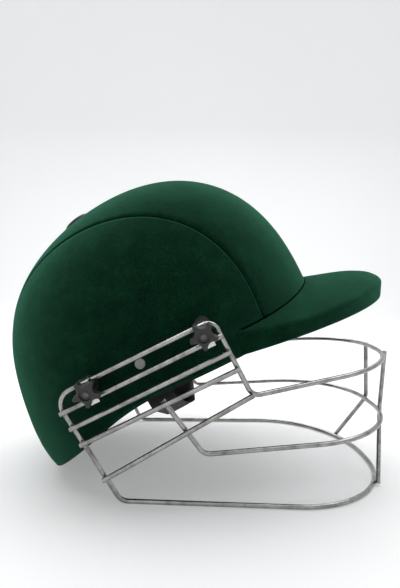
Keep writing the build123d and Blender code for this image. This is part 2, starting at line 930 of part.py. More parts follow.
# Fixings: on each axis, from inside: screw, washer, spacer, bar clip and knob
def fixing_round(u, w_from, w_to, radius):
    """A round bar on a fixing's axis between two distances from the panel."""
    with BuildPart() as bar:
        with BuildSketch(panel.offset(w_from)):
            with Locations((u, fixing_v)):
                Circle(radius)
        extrude(amount=w_to - w_from)
    return bar.part


clip_bottom = wire_diameter + wire_radius + clip_top_gap
clip_top = clip_bottom + clip_thickness
knob_bottom = clip_top + knob_gap
knob_top = knob_bottom + knob_height
screw_end = knob_top - dish_depth + screw_tip_in_dish
spacer_seat = -wire_radius - seat_gap
hole_radius = screw_diameter / 2 + thread_gap


def save_fixings(right, name):
    """Writes one kind of fixing for both sides as one file."""
    with BuildPart() as both:
        add(right)
        mirror(about=Plane.XZ)
    both.part.label = name
    export_step(both.part, "parts/" + name + ".step")


with BuildPart() as washers:
    for u in (rear_fixing_u, front_fixing_u):
        w = axis_reach(u, fixing_v, inner_depth)
        add(fixing_round(u, w - washer_height, w + washer_diameter / 2, washer_diameter / 2))
    add(crown_body(inner_depth), mode=Mode.INTERSECT)
    add(fixing_holes(hole_radius), mode=Mode.SUBTRACT)
save_fixings(washers.part, "grille_washers")

with BuildPart() as screws:
    for u in (rear_fixing_u, front_fixing_u):
        w = axis_reach(u, fixing_v, inner_depth) - washer_height
        with BuildSketch(panel.offset(w - head_height)):
            with Locations((u, fixing_v)):
                Circle(head_diameter / 2)
                RegularPolygon(socket_radius, socket_sides, mode=Mode.SUBTRACT)
        extrude(amount=socket_depth)
        add(fixing_round(u, w - head_height + socket_depth, w, head_diameter / 2))
        add(fixing_round(u, w, screw_end, screw_diameter / 2))
save_fixings(screws.part, "grille_screws")

with BuildPart() as spacers:
    for u in (rear_fixing_u, front_fixing_u):
        w = axis_reach(u, fixing_v, 0)
        add(fixing_round(u, w - spacer_diameter / 2, spacer_seat, spacer_diameter / 2))
    add(crown_body(0), mode=Mode.SUBTRACT)
    add(fixing_holes(hole_radius), mode=Mode.SUBTRACT)
save_fixings(spacers.part, "grille_spacers")

clip_low_v = bar_2_v - wire_radius - clip_wire_gap
clip_high_v = bar_1_v + wire_radius + clip_wire_gap


def clip(u):
    """A plate over the two top bars with a lip behind each, pressed by a knob."""
    with BuildPart() as plate:
        with BuildSketch(Plane(origin=spot(u, 0), x_dir=panel.y_dir, z_dir=panel.x_dir)):
            with BuildLine():
                FilletPolyline(
                    (clip_low_v - clip_thickness, clip_lower_tip),
                    (clip_low_v - clip_thickness, clip_top),
                    (clip_high_v + clip_thickness, clip_top),
                    (clip_high_v + clip_thickness, clip_upper_tip),
                    radius=clip_edge_radius,
                )
                Polyline(
                    (clip_high_v + clip_thickness, clip_upper_tip),
                    (clip_high_v, clip_upper_tip),
                    (clip_high_v, clip_bottom),
                    (clip_low_v, clip_bottom),
                    (clip_low_v, clip_lower_tip),
                    (clip_low_v - clip_thickness, clip_lower_tip),
                )
            make_face()
        extrude(amount=clip_width / 2, both=True)
        add(fixing_holes(hole_radius), mode=Mode.SUBTRACT)
    return plate.part


save_pair(clip(rear_fixing_u), "rear_clip")
save_pair(clip(front_fixing_u), "front_clip")


def knob(u):
    """A star knob with hollows between its lobes and a dish round the screw's end."""
    with BuildPart() as body:
        with BuildSketch(panel.offset(knob_bottom)):
            with Locations((u, fixing_v)):
                Circle(knob_radius)
                with PolarLocations(scallop_centre_radius, knob_lobes):
                    Circle(scallop_radius, mode=Mode.SUBTRACT)
        extrude(amount=knob_height)
        fillet(body.edges().filter_by(Axis(spot(u, fixing_v), panel.z_dir)), lobe_edge_radius)
        top_face = body.faces().sort_by(Axis(spot(u, fixing_v), panel.z_dir))[-1]
        fillet(top_face.edges(), knob_edge_radius)
        add(fixing_round(u, knob_top - dish_depth, knob_top, dish_radius), mode=Mode.SUBTRACT)
        add(fixing_holes(hole_radius), mode=Mode.SUBTRACT)
    return body.part


save_pair(knob(rear_fixing_u), "rear_knob")
save_pair(knob(front_fixing_u), "front_knob")
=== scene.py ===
import bpy
import bmesh
import json
from math import atan, atan2, cos, hypot, pi, radians, sin, sqrt, tan
from mathutils import Matrix, Vector


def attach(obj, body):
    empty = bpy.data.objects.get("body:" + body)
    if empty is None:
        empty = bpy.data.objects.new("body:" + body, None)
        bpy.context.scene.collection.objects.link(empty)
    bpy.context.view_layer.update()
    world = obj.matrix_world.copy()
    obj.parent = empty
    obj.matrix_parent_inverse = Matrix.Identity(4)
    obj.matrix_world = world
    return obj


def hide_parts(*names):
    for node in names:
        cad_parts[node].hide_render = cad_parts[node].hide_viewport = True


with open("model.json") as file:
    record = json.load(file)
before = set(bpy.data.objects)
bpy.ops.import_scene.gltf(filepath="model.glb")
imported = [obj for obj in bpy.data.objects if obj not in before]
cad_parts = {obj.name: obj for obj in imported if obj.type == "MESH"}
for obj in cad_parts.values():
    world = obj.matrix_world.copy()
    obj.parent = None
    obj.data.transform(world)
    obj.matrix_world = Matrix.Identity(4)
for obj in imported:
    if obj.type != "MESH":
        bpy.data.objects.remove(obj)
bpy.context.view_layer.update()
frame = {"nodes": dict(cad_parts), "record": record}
nodes = frame["nodes"]
mm = 0.001
tiny_share = 1e-9
piece_join_distance = 0.000001
solid_join_distance = 0.00001


# Camera: where it stood for the photograph, and the way it looked
def make_camera():
    camera_place = Vector((-23, -412, 190)) * mm
    pitch, yaw, roll = radians(4.66), radians(2.63), radians(2.24)
    focal_pixels = 440
    image_height = 588
    sensor = 36
    forward = Vector((sin(yaw) * cos(pitch), cos(yaw) * cos(pitch), -sin(pitch)))
    level_right = Vector((cos(yaw), -sin(yaw), 0))
    level_up = level_right.cross(forward)
    right = cos(roll) * level_right + sin(roll) * level_up
    up = cos(roll) * level_up - sin(roll) * level_right
    data = bpy.data.cameras.new("photo_camera")
    data.sensor_width = sensor
    data.lens = focal_pixels / image_height * sensor
    data.clip_start = 0.01
    camera = bpy.data.objects.new("photo_camera", data)
    turn = Matrix((right, up, -forward)).transposed()
    camera.matrix_world = Matrix.Translation(camera_place) @ turn.to_4x4()
    bpy.context.scene.collection.objects.link(camera)
    bpy.context.scene.camera = camera


# Materials
def new_material(name):
    """A material with its shader, and the shader's node tree."""
    material = bpy.data.materials.new(name)
    material.use_nodes = True
    tree = material.node_tree
    return material, tree, tree.nodes["Principled BSDF"]


def noise(tree, scale, detail=4.0, roughness=0.6, stretch=(1, 1, 1)):
    """A noise pattern in the object's own coordinates, scale in features per metre."""
    place = tree.nodes.new("ShaderNodeTexCoord")
    mapping = tree.nodes.new("ShaderNodeMapping")
    mapping.inputs["Scale"].default_value = stretch
    texture = tree.nodes.new("ShaderNodeTexNoise")
    texture.inputs["Scale"].default_value = scale
    texture.inputs["Detail"].default_value = detail
    texture.inputs["Roughness"].default_value = roughness
    tree.links.new(place.outputs["Object"], mapping.inputs["Vector"])
    tree.links.new(mapping.outputs["Vector"], texture.inputs["Vector"])
    return texture.outputs["Fac"]


def ramp(tree, value, stops):
    """Colours by a value: stops are (position, colour)."""
    node = tree.nodes.new("ShaderNodeValToRGB")
    node.color_ramp.elements[0].position = stops[0][0]
    node.color_ramp.elements[0].color = (*stops[0][1], 1)
    node.color_ramp.elements[1].position = stops[-1][0]
    node.color_ramp.elements[1].color = (*stops[-1][1], 1)
    for position, colour in stops[1:-1]:
        element = node.color_ramp.elements.new(position)
        element.color = (*colour, 1)
    tree.links.new(value, node.inputs["Fac"])
    return node.outputs["Color"]


def spread(tree, value, low, high):
    """A value from 0 to 1 spread to a range."""
    node = tree.nodes.new("ShaderNodeMapRange")
    node.inputs["To Min"].default_value = low
    node.inputs["To Max"].default_value = high
    tree.links.new(value, node.inputs["Value"])
    return node.outputs["Result"]


def add_bump(tree, shader, heights):
    """Bumps on a shader: heights are (value, depth in metres)."""
    normal = None
    for value, depth in heights:
        node = tree.nodes.new("ShaderNodeBump")
        node.inputs["Distance"].default_value = depth
        tree.links.new(value, node.inputs["Height"])
        if normal is not None:
            tree.links.new(normal, node.inputs["Normal"])
        normal = node.outputs["Normal"]
    tree.links.new(normal, shader.inputs["Normal"])


def tints(colour, *shares):
    """Darker and lighter versions of a colour."""
    return [tuple(channel * share for channel in colour) for share in shares]


def felt_material():
    """Green felt: soft patches, darker and lighter fibres, and a faint nap."""
    material, tree, shader = new_material("green_felt")
    base = (0.0022, 0.0215, 0.0100)
    dark, middle, light = tints(base, 0.6, 1.0, 1.7)
    patches = noise(tree, 60, 6, 0.7)
    colour = ramp(tree, patches, [(0.3, dark), (0.5, middle), (0.72, light)])
    fibres = noise(tree, 1500, 5, 0.75)
    flecks = ramp(tree, fibres, [(0.38, (0.25, 0.25, 0.25)), (0.64, (2.0, 2.0, 2.0))])
    mixed = tree.nodes.new("ShaderNodeMix")
    mixed.data_type = "RGBA"
    mixed.blend_type = "MULTIPLY"
    mixed.inputs["Factor"].default_value = 1.0
    tree.links.new(colour, mixed.inputs["A"])
    tree.links.new(flecks, mixed.inputs["B"])
    tree.links.new(mixed.outputs["Result"], shader.inputs["Base Color"])
    shader.inputs["Roughness"].default_value = 0.95
    shader.inputs["Specular IOR Level"].default_value = 0.03
    shader.inputs["Sheen Weight"].default_value = 0.55
    shader.inputs["Sheen Roughness"].default_value = 0.4
    shader.inputs["Sheen Tint"].default_value = (0.20, 0.74, 0.46, 1)
    add_bump(tree, shader, [(fibres, 0.0007), (patches, 0.0003)])
    return material


def cloth_material(name, base, scale, roughness=0.9, sheen=0.2):
    """Plain woven cloth, scale in threads per metre."""
    material, tree, shader = new_material(name)
    dark, middle, light = tints(base, 0.6, 1.0, 1.6)
    threads = noise(tree, scale, 3, 0.7)
    patches = noise(tree, scale / 30, 4, 0.6)
    colour = ramp(tree, threads, [(0.3, dark), (0.5, middle), (0.75, light)])
    tree.links.new(colour, shader.inputs["Base Color"])
    tree.links.new(spread(tree, patches, roughness - 0.1, roughness), shader.inputs["Roughness"])
    shader.inputs["Sheen Weight"].default_value = sheen
    shader.inputs["Specular IOR Level"].default_value = sheen
    add_bump(tree, shader, [(threads, 0.0003)])
    return material


def wire_material():
    """Bare steel wire with dull stains."""
    material, tree, shader = new_material("steel_wire")
    stains = noise(tree, 90, 6, 0.7)
    grain = noise(tree, 900, 3, 0.6)
    dull, steel, bright = (0.14, 0.138, 0.132), (0.30, 0.297, 0.288), (0.44, 0.433, 0.42)
    colour = ramp(tree, stains, [(0.3, dull), (0.5, steel), (0.75, bright)])
    tree.links.new(colour, shader.inputs["Base Color"])
    tree.links.new(spread(tree, grain, 0.16, 0.30), shader.inputs["Roughness"])
    shader.inputs["Metallic"].default_value = 1.0
    add_bump(tree, shader, [(grain, 0.00004)])
    return material


def metal_material(name, colour_low, colour_high, roughness):
    """Worn metal between two colours."""
    material, tree, shader = new_material(name)
    wear = noise(tree, 400, 5, 0.7)
    colour = ramp(tree, wear, [(0.3, colour_low), (0.7, colour_high)])
    tree.links.new(colour, shader.inputs["Base Color"])
    tree.links.new(spread(tree, wear, roughness - 0.08, roughness + 0.08),
                   shader.inputs["Roughness"])
    shader.inputs["Metallic"].default_value = 1.0
    add_bump(tree, shader, [(wear, 0.00003)])
    return material


def plastic_material(name, base, roughness, grain_scale, grain_depth):
    """Moulded plastic with scuffs and a fine grain."""
    material, tree, shader = new_material(name)
    grain = noise(tree, grain_scale, 4, 0.6)
    scuffs = noise(tree, 150, 6, 0.75)
    dark, light = tints(base, 0.75, 1.4)
    colour = ramp(tree, scuffs, [(0.35, dark), (0.75, light)])
    tree.links.new(colour, shader.inputs["Base Color"])
    tree.links.new(spread(tree, scuffs, roughness - 0.08, roughness + 0.12),
                   shader.inputs["Roughness"])
    add_bump(tree, shader, [(grain, grain_depth)])
    return material


# Crown: the same side profile and cross sections as the frame's solids
pole_x = -41.0
pole_z = 88.0
half_width = 97.0
crown_radii = (157.6, 173.0, 155.3, 135.1, 118.0, 110.2, 81.4, 149.8)
section_power_share = 2.3
front_rounding_share = 0.12
rim_front = (120.0, 162.3)
rim_bend = (-54.7, 81.6)
rim_nape = (-140.0, -8.0)
rim_bend_radius = 150.0
seam_front = (60.0, 77.0)
seam_middle = (-45.0, 66.5)
seam_rear = (-165.0, 38.0)
search_steps = 40
widest_seam_share = 0.99
side_rear_angle = radians(236)


def profile_radius(angle):
    """The crown's radius in side view: a smooth curve through the evenly spaced radii."""
    count = len(crown_radii)
    total = 0
    for index, radius in enumerate(crown_radii):
        step = angle / 2 - pi * (index + 1 / 2) / count
        if abs(sin(step)) > tiny_share:
            total += radius * sin(count * step) * cos(step) / (count * sin(step))
        else:
            total += radius
    return total


def section_power(angle):
    """How square the crown's cross section is, by its angle in side view."""
    return section_power_share * (1 - front_rounding_share * cos(angle))


def crown_half_width(x, z, depth=0):
    """Half the crown's width at a place in side view, at a depth below its face."""
    angle = atan2(z - pole_z, x - pole_x)
    power = section_power(angle)
    share = hypot(x - pole_x, z - pole_z) / (profile_radius(angle) - depth)
    return (half_width - depth) * max(0, 1 - share ** power) ** (1 / power)


def crown_spot(angle, side_share, depth=0):
    """A place on the crown from its angle in side view and its share of the half width."""
    power = section_power(angle)
    reach = (profile_radius(angle) - depth) * (1 - abs(side_share) ** power) ** (1 / power)
    return Vector((
        pole_x + reach * cos(angle),
        side_share * (half_width - depth),
        pole_z + reach * sin(angle),
    ))


def rim_height(x):
    """The height of the rim line in side view: two straight runs and an arc between."""
    front_slope = (rim_front[1] - rim_bend[1]) / (rim_front[0] - rim_bend[0])
    rear_slope = (rim_bend[1] - rim_nape[1]) / (rim_bend[0] - rim_nape[0])
    front_turn, rear_turn = atan(front_slope), atan(rear_slope)
    tangent = rim_bend_radius * sin((rear_turn - front_turn) / 2) / cos((rear_turn - front_turn) / 2)
    front_end = rim_bend[0] + tangent * cos(front_turn)
    rear_end = rim_bend[0] - tangent * cos(rear_turn)
    if x >= front_end:
        return rim_bend[1] + front_slope * (x - rim_bend[0])
    if x <= rear_end:
        return rim_bend[1] + rear_slope * (x - rim_bend[0])
    centre_x = front_end + rim_bend_radius * sin(front_turn)
    centre_z = (rim_bend[1] + tangent * sin(front_turn)) - rim_bend_radius * cos(front_turn)
    return centre_z + sqrt(rim_bend_radius ** 2 - (x - centre_x) ** 2)


def circle_through(a, b, c):
    """The centre and radius of the circle through three points in plan."""
    d = 2 * (a[0] * (b[1] - c[1]) + b[0] * (c[1] - a[1]) + c[0] * (a[1] - b[1]))
    squares = [p[0] ** 2 + p[1] ** 2 for p in (a, b, c)]
    x = (squares[0] * (b[1] - c[1]) + squares[1] * (c[1] - a[1]) + squares[2] * (a[1] - b[1])) / d
    y = (squares[0] * (c[0] - b[0]) + squares[1] * (a[0] - c[0]) + squares[2] * (b[0] - a[0])) / d
    return x, y, hypot(a[0] - x, a[1] - y)


seam_circle = circle_through(seam_front, seam_middle, seam_rear)


def seam_half(x):
    """How far from the middle the seam runs, seen from above."""
    if x >= seam_front[0]:
        return seam_front[1]
    if x <= seam_rear[0]:
        return seam_rear[1]
    centre_x, centre_y, radius = seam_circle
    offset = sqrt(radius ** 2 - (x - centre_x) ** 2)
    return centre_y + (offset if seam_middle[1] > centre_y else -offset)


def search(test, low, high):
    """The last place between low and high where the test still holds."""
    for _ in range(search_steps):
        middle = (low + high) / 2
        if test(middle):
            low = middle
        else:
            high = middle
    return low


def seam_share(angle):
    """The seam's share of the half width at an angle of the side view."""
    def inside(share):
        place = crown_spot(angle, share)
        return place.y < seam_half(place.x)
    return search(inside, 0, widest_seam_share)


def mesh_object(name, points, faces):
    """An object from points in millimetres."""
    mesh = bpy.data.meshes.new(name)
    mesh.from_pydata([point * mm for point in points], [], faces)
    mesh.validate()
    mesh.shade_smooth()
    piece = bpy.data.objects.new(name, mesh)
    bpy.context.scene.collection.objects.link(piece)
    return piece


def grid_object(name, rows):
    """A sheet from rows of points, all rows as long."""
    width = len(rows[0])
    points = [point for row in rows for point in row]
    faces = []
    for i in range(len(rows) - 1):
        for j in range(width - 1):
            start = i * width + j
            faces.append((start, start + 1, start + width + 1, start + width))
    return mesh_object(name, points, faces)


def even(count):
    """Evenly spaced shares from 0 to 1."""
    return [i / (count - 1) for i in range(count)]


def face_outwards(piece):
    """Turns a crown sheet's faces away from the middle of the head."""
    middle = Vector((pole_x, 0, pole_z)) * mm
    work = bmesh.new()
    work.from_mesh(piece.data)
    outward = sum((face.calc_center_median() - middle).dot(face.normal) for face in work.faces)
    if outward < 0:
        bmesh.ops.reverse_faces(work, faces=work.faces)
    work.to_mesh(piece.data)
    work.free()


def thicken(piece, thickness):
    """Gives a sheet its thickness, inwards from its face."""
    face_outwards(piece)
    solid = piece.modifiers.new("thickness", "SOLIDIFY")
    solid.thickness = thickness * mm
    solid.offset = -1
    solid.use_rim = True


def finish_piece(piece, material, body, slot, *replaced):
    """Gives a piece its material and its body, and hides the nodes that it stands for; the slot is
    not used.
    """
    piece.data.materials.clear()
    piece.data.materials.append(material)
    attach(piece, body)
    if replaced:
        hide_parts(*replaced)


# Felt cover: three panels that roll under at the seams
seam_depth = 1.5
seam_roll = 2.4
felt_thickness = 1.3
rows_round = 150
crown_columns = 90
side_columns = 70
end_overlap = radians(8)
# Painted shade: a dark tube this deep and this thick in each seam, and one in the crease where the
# peak meets the crown, stand in for the shade in these grooves
seam_shade_depth = 0.9
seam_shade_radius = 0.55
seam_shade_count = 90
crease_shade_radius = 0.9


def edge_dense(count, ends=2):
    """Shares from 0 to 1 that crowd towards one or both ends."""
    if ends == 2:
        return [(1 - cos(pi * share)) / 2 for share in even(count)]
    return [1 - (1 - share) ** 2 for share in even(count)]


def rolled_depth(distance):
    """How deep the cloth dips at a distance from its seam."""
    return seam_depth * max(0, 1 - distance / seam_roll) ** 2


def crown_panel_piece():
    """The middle panel, from the rim in front over the top to the rim behind."""
    rows = []
    columns = [2 * share - 1 for share in edge_dense(crown_columns)]
    front_angle = atan2(rim_front[1] - pole_z, rim_front[0] - pole_x) - end_overlap
    rear_angle = atan2(rim_nape[1] - pole_z, rim_nape[0] - pole_x) + 2 * pi + end_overlap
    angles = [front_angle + (rear_angle - front_angle) * share for share in even(rows_round * 2)]
    seams = [seam_share(angle) for angle in angles]

    def seam_at(angle):
        place = (angle - front_angle) / (rear_angle - front_angle) * (len(angles) - 1)
        index = min(max(int(place), 0), len(angles) - 2)
        return seams[index] + (seams[index + 1] - seams[index]) * (place - index)

    ends = []
    for column in columns:
        def above(angle):
            place = crown_spot(angle, column * seam_at(angle))
            return place.z > rim_height(place.x)
        ends.append((search(above, pi / 2, front_angle), search(above, pi / 2, rear_angle)))
    for share in even(rows_round):
        row = []
        for column, (front, rear) in zip(columns, ends):
            angle = front + (rear - front) * share
            side_share = column * seam_at(angle)
            to_seam = (1 - abs(column)) * seam_at(angle) * half_width
            row.append(crown_spot(angle, side_share, rolled_depth(to_seam)))
        rows.append(row)
    piece = grid_object("crown_panel_felt", rows)
    thicken(piece, felt_thickness)
    return piece


def side_panel_piece(side, name):
    """A side panel, from the seam down to the rim."""

    def seam_point(angle):
        return crown_spot(angle, seam_share(angle))

    def above(angle):
        place = seam_point(angle)
        return place.z > rim_height(place.x)
    front = search(above, pi / 2, 0.0)
    rear = search(above, pi / 2, side_rear_angle)
    front_point = seam_point(front)
    rear_point = seam_point(rear)
    rows = []
    for share in even(rows_round):
        top = seam_point(front + (rear - front) * share)
        low_x = front_point.x + (rear_point.x - front_point.x) * share
        low_z = rim_height(low_x)
        length = hypot(top.x - low_x, top.z - low_z)
        row = []
        for up_share in edge_dense(side_columns, 1):
            x = low_x + (top.x - low_x) * up_share
            z = low_z + (top.z - low_z) * up_share
            depth = rolled_depth(length * (1 - up_share))
            row.append(Vector((x, side * crown_half_width(x, z, depth), z)))
        rows.append(row if side > 0 else row[::-1])
    piece = grid_object(name, rows)
    thicken(piece, felt_thickness)
    return piece


# Peak: one felt cover round its edge, from the crown out, down and back underneath
peak_root_x = 27.0
peak_half_width = 86.5
peak_tip_x = 163.0
peak_tail_x = 20.0
peak_crest_z = 184.0
peak_camber = 21.0
peak_arch_radius = 145.0
peak_edge_front_z = 164.5
peak_edge_rear_z = 117.0
station_shares = (-0.08, 0.18, 0.38, 0.58, 0.76, 0.86, 0.94, 1.04)
crest_shares = (0.0, 0.24, 0.48, 0.73, 0.95, 1.0, 0.95, 0.6)
arch_shares = (1.0, 1.0, 0.94, 0.88, 0.72, 0.62, 0.54, 0.48)
peak_under_depth = 6.0
peak_under_inset = 7.0
peak_tail_round = 2.8
peak_tip_round = 3.2
peak_lip_round = 2.6
peak_hem = 1.4
peak_inner_round = 4.0
peak_edge_count = 110
peak_tail_count = 6
peak_spacing_share = 0.16
peak_target_set_back = 6.0
peak_seat_depth = 0.4
peak_top_count = 26
peak_under_count = 20


def through(at, places, values):
    """A smooth curve through values at places."""
    index = 1
    while index < len(places) - 2 and at > places[index]:
        index += 1
    index -= 1
    start, end = places[index], places[index + 1]

    def slope(i):
        low, high = max(i - 1, 0), min(i + 1, len(places) - 1)
        return (values[high] - values[low]) / (places[high] - places[low])
    width = end - start
    t = (at - start) / width
    return ((2 * t ** 3 - 3 * t ** 2 + 1) * values[index]
            + (t ** 3 - 2 * t ** 2 + t) * width * slope(index)
            + (3 * t ** 2 - 2 * t ** 3) * values[index + 1]
            + (t ** 3 - t ** 2) * width * slope(index + 1))


def arch_height(x, y, depth=0):
    """The height of the peak's arched sheet, at a depth below its face."""
    share = (x - peak_root_x) / (peak_tip_x - peak_root_x)
    crest = peak_crest_z - peak_camber * (1 - through(share, station_shares, crest_shares))
    radius = peak_arch_radius * through(share, station_shares, arch_shares) - depth
    return crest - depth - radius + sqrt(max(0, radius ** 2 - y ** 2))


def peak_edge_height(x):
    """The height of the foot of the peak's turned-down edge."""
    slope = (peak_edge_front_z - peak_edge_rear_z) / (peak_tip_x - peak_tail_x)
    return peak_edge_rear_z + slope * (x - peak_tail_x)


def bend_points(start, corner, end, count=6):
    """Points round a soft corner."""
    return [
        start * (1 - t) ** 2 + corner * 2 * t * (1 - t) + end * t ** 2
        for t in even(count)
    ]


def peak_edge_spots():
    """Places round the peak's edge seen from above, with the way in from each."""
    span = peak_tip_x - peak_root_x
    tail = peak_root_x - peak_tail_x
    spots = [(Vector((peak_tail_x + tail * share, -peak_half_width)), Vector((0, 1)))
             for share in even(peak_tail_count)[:-1]]
    for share in even(peak_edge_count):
        turn = pi * (share - 1 / 2)
        turn += peak_spacing_share * sin(2 * turn)
        spot = Vector((peak_root_x + span * cos(turn), peak_half_width * sin(turn)))
        inward = -Vector((cos(turn) / span, sin(turn) / peak_half_width)).normalized()
        spots.append((spot, inward))
    spots += [(Vector((peak_root_x - tail * share, peak_half_width)), Vector((0, -1)))
              for share in even(peak_tail_count)[1:]]
    return spots


def peak_row(spot, inward):
    """One section of the peak's cover, from the crown over the edge to the underside."""
    target = Vector((peak_tail_x - peak_target_set_back, 0))

    def place(plan, height):
        return Vector((plan.x, plan.y, height))

    def sheet(start, depth, count):
        def outside(share):
            plan = start.lerp(target, share)
            height = arch_height(plan.x, plan.y, depth)
            return abs(plan.y) > crown_half_width(plan.x, height, peak_seat_depth)
        end = search(outside, 0, 1)
        run = [start.lerp(target, end * share) for share in even(count)]
        return [place(plan, arch_height(plan.x, plan.y, depth)) for plan in run]
    reach = min(max((spot.x - peak_tail_x) / (peak_tip_x - peak_tail_x), 0), 1)
    top_round = peak_tail_round + (peak_tip_round - peak_tail_round) * reach
    top_start = spot + inward * top_round
    top = sheet(top_start, 0, peak_top_count)
    corner = place(spot, arch_height(spot.x, spot.y))
    low = peak_edge_height(spot.x) - peak_hem
    side_top = place(spot, max(corner.z - top_round, low + peak_lip_round))
    side_low = place(spot, low + peak_lip_round)
    lip_plan = spot + inward * peak_lip_round
    inner_plan = spot + inward * peak_under_inset
    lip_end_plan = spot + inward * (peak_under_inset - peak_lip_round)
    under_plan = spot + inward * (peak_under_inset + peak_inner_round)
    under_corner = arch_height(inner_plan.x, inner_plan.y, peak_under_depth)
    inner_top = max(under_corner - peak_inner_round, low + peak_lip_round)
    row = top[::-1]
    row += bend_points(top[0], corner, side_top)[1:]
    row += [side_top.lerp(side_low, share) for share in (0.3, 0.6)]
    row += bend_points(side_low, place(spot, low), place(lip_plan, low))
    row += bend_points(place(lip_end_plan, low), place(inner_plan, low),
                       place(inner_plan, low + peak_lip_round))
    under = sheet(under_plan, peak_under_depth, peak_under_count)
    row += bend_points(place(inner_plan, inner_top), place(inner_plan, under_corner), under[0])
    row += under[1:]
    return row


def peak_piece():
    """The whole cover of the peak, one section beside the other."""
    rows = [peak_row(spot, inward) for spot, inward in peak_edge_spots()]
    return grid_object("peak_felt", rows)


# Painted shade: a dark tube sunk in each seam, and one where the peak meets the crown, stand in for
# the shade in these grooves
def shade_tube_piece(name, points, radius):
    """A thin round tube through points, which carries painted shade in a groove."""
    curve = bpy.data.curves.new(name, "CURVE")
    curve.dimensions = "3D"
    curve.bevel_depth = radius * mm
    curve.bevel_resolution = 2
    line = curve.splines.new("POLY")
    line.points.add(len(points) - 1)
    for target, point in zip(line.points, points):
        target.co = (*(point * mm), 1)
    piece = bpy.data.objects.new(name, curve)
    bpy.context.scene.collection.objects.link(piece)
    return piece


def seam_points(side):
    """Places along a seam from the rim in front, over the top, to the rim behind."""
    def above(angle):
        place = crown_spot(angle, seam_share(angle))
        return place.z > rim_height(place.x)
    front = search(above, pi / 2, 0.0)
    rear = search(above, pi / 2, side_rear_angle)
    points = []
    for share in even(seam_shade_count):
        angle = front + (rear - front) * share
        points.append(crown_spot(angle, side * seam_share(angle), seam_shade_depth))
    return points


# Rim binding: a folded strip under the rim, turned up inside the shell
binding_section = (
    (0.5, -0.2), (0.2, -0.6), (0.4, -1.3), (1.2, -1.6), (5.0, -1.6), (6.0, -1.3),
    (6.3, -0.6), (6.3, 4.0), (6.2, 8.4), (5.7, 8.9), (4.9, 8.5), (4.7, 4.0), (4.7, -0.2),
)
binding_centre_x = -25.0
binding_steps = 240
longest_reach = 200.0


def rim_spot(turn, depth, rise):
    """A place along the rim in a direction from the head's middle, seen from above."""
    def inside(reach):
        x = binding_centre_x + reach * cos(turn)
        y = reach * sin(turn)
        z = rim_height(x) + rise
        return abs(y) < crown_half_width(x, z, depth)
    reach = search(inside, 0, longest_reach)
    x = binding_centre_x + reach * cos(turn)
    return Vector((x, reach * sin(turn), rim_height(x) + rise))


def binding_piece():
    """The strip all the way round the rim, closed on itself."""
    rows = []
    for step in range(binding_steps + 1):
        turn = 2 * pi * (step % binding_steps) / binding_steps
        row = [rim_spot(turn, depth, rise) for depth, rise in binding_section]
        rows.append(row + row[:1])
    piece = grid_object("rim_binding_strip", rows)
    weld_piece(piece)
    return piece


# Chin strap: woven bands on the strap's path; its plane leans forward from the rivets
rivet_place = Vector((-50.0, 0.0, 112.0))
strap_lean = radians(30.0)
strap_half_width = 88.6
strap_end = 7.0
strap_drop = 37.1
strap_low_half = 42.0
strap_low_drop = 60.1
strap_bends = (12.0, 30.0, 30.0, 12.0)
strap_width = 20.6
strap_thickness = 1.5
strap_joint = 65.75
strap_bend_count = 16
strap_row_count = 260
strap_section_count = 24
strap_flat_power = 0.25
strap_edge_power = 0.5


def rounded_path(points, bends):
    """Places along straight runs with round bends."""
    places = [points[0]]
    for before, corner, after, bend in zip(points, points[1:], points[2:], bends):
        back = (before - corner).normalized()
        ahead = (after - corner).normalized()
        half = back.angle(ahead) / 2
        centre = corner + (back + ahead).normalized() * bend / sin(half)
        start = corner + back * bend / tan(half) - centre
        end = corner + ahead * bend / tan(half) - centre
        for t in even(strap_bend_count):
            places.append(centre + start.lerp(end, t).normalized() * bend)
    places.append(points[-1])
    return places


def along(places, count):
    """Evenly spaced places along a line of places."""
    lengths = [0]
    for a, b in zip(places, places[1:]):
        lengths.append(lengths[-1] + (b - a).length)
    result = []
    index = 0
    for share in even(count):
        at = share * lengths[-1]
        while index < len(places) - 2 and at > lengths[index + 1]:
            index += 1
        step = (at - lengths[index]) / max(lengths[index + 1] - lengths[index], tiny_share)
        result.append(places[index].lerp(places[index + 1], step))
    return result


def strap_line():
    """The strap's centre line from the wearer's right to the left: sideways and up."""
    corners = [
        Vector((-strap_half_width, strap_end)),
        Vector((-strap_half_width, -strap_drop)),
        Vector((-strap_low_half, -strap_low_drop)),
        Vector((strap_low_half, -strap_low_drop)),
        Vector((strap_half_width, -strap_drop)),
        Vector((strap_half_width, strap_end)),
    ]
    return along(rounded_path(corners, strap_bends), strap_row_count)


def strap_spot(sideways, up, across):
    """A place on the strap in the part's own axes."""
    up_way = Vector((-sin(strap_lean), 0, cos(strap_lean)))
    across_way = Vector((cos(strap_lean), 0, sin(strap_lean)))
    return rivet_place + Vector((0, sideways, 0)) + up_way * up + across_way * across


def band_piece(name, line):
    """A flat woven band along a line, with round edges."""
    rows = []
    for index, centre in enumerate(line):
        before = line[max(index - 1, 0)]
        after = line[min(index + 1, len(line) - 1)]
        way = (after - before).normalized()
        normal = Vector((-way.y, way.x))
        row = []
        for step in range(strap_section_count):
            turn = 2 * pi * step / strap_section_count
            across = strap_width / 2 * sign_power(cos(turn), strap_flat_power)
            out = strap_thickness / 2 * sign_power(sin(turn), strap_edge_power)
            flat = centre + normal * out
            row.append(strap_spot(flat.x, flat.y, across))
        rows.append(row + row[:1])
    piece = grid_object(name, rows)
    weld_piece(piece)
    return piece


def sign_power(value, power):
    """A power of a value that keeps its sign."""
    return abs(value) ** power if value > 0 else -abs(value) ** power


